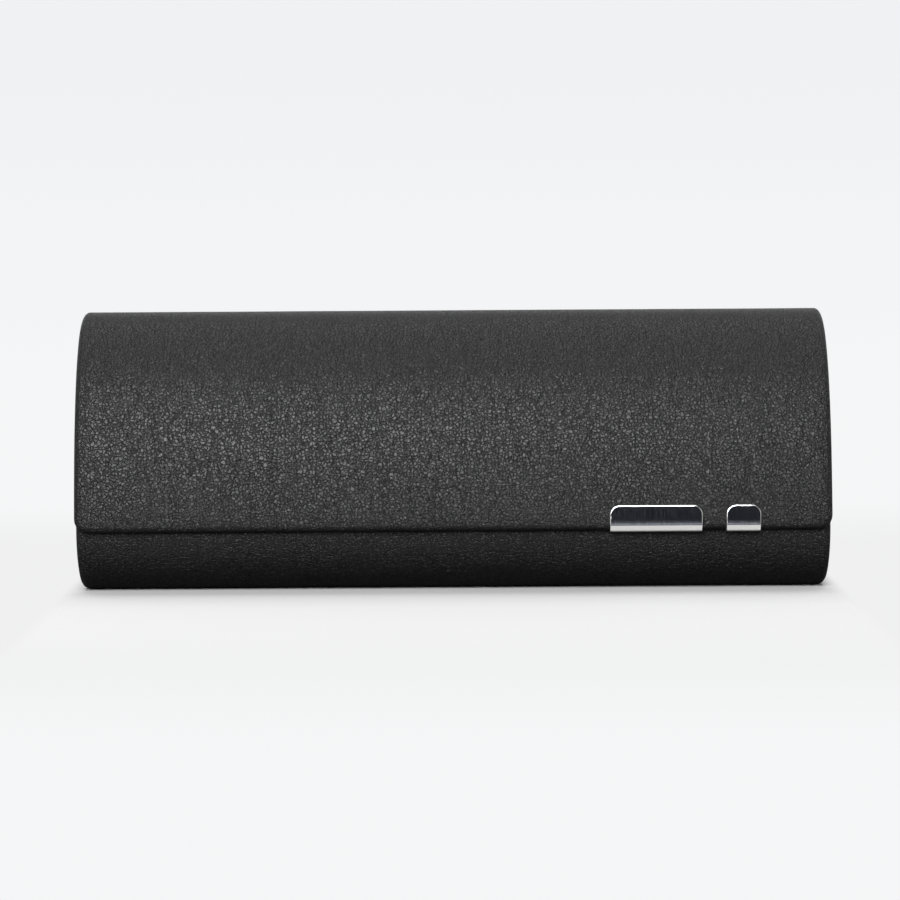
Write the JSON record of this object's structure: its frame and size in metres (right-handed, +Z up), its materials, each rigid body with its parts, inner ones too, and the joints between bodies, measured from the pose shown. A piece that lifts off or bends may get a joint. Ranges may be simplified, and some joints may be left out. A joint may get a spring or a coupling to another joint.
{
  "type": "eyeglasses case",
  "caption": "Long hard eyeglasses case in black pebbled leatherette, with a magnetic front flap on a fabric hinge and bright metal clips.",
  "frame": {"origin": "on the surface that the case stands on, under the middle of the closed case", "axes": "+X to the right along the length, -Y towards the front flap, +Z up"},
  "size_m": [0.16, 0.0407, 0.0594],
  "materials": {
    "leatherette": "black pebbled satin",
    "lining": "black brushed microfibre",
    "foam": "thin pale padding",
    "steel": "bare sheet steel",
    "board": "grey-brown binder's board",
    "magnet": "nickel-plated",
    "tape": "woven cotton tape",
    "clip": "brushed front, polished edges and fold"
  },
  "bodies": {
    "base": {"base_skin": "leatherette", "base_shell": "steel", "base_foam": "foam", "base_lining": "lining", "end_skin_left": "leatherette", "end_skin_right": "leatherette", "end_board_left": "board", "end_board_right": "board", "end_lining_left": "lining", "end_lining_right": "lining", "magnet_left": "magnet", "magnet_right": "magnet", "hinge_skin": "leatherette", "hinge_tape": "tape", "hinge_lining": "lining"},
    "flap": {"flap_skin": "leatherette", "flap_shell": "steel", "flap_lining": "lining", "long_clip": "clip", "short_clip": "clip"}
  },
  "joints": [
    {"name": "flap_hinge", "type": "hinge", "parent": "base", "child": "flap", "pos_m": [0, 0.01979, 0.04], "axis": [-1, 0, 0], "range_deg": [0, 160], "deforming": ["hinge_skin", "hinge_tape", "hinge_lining"]}
  ]
}
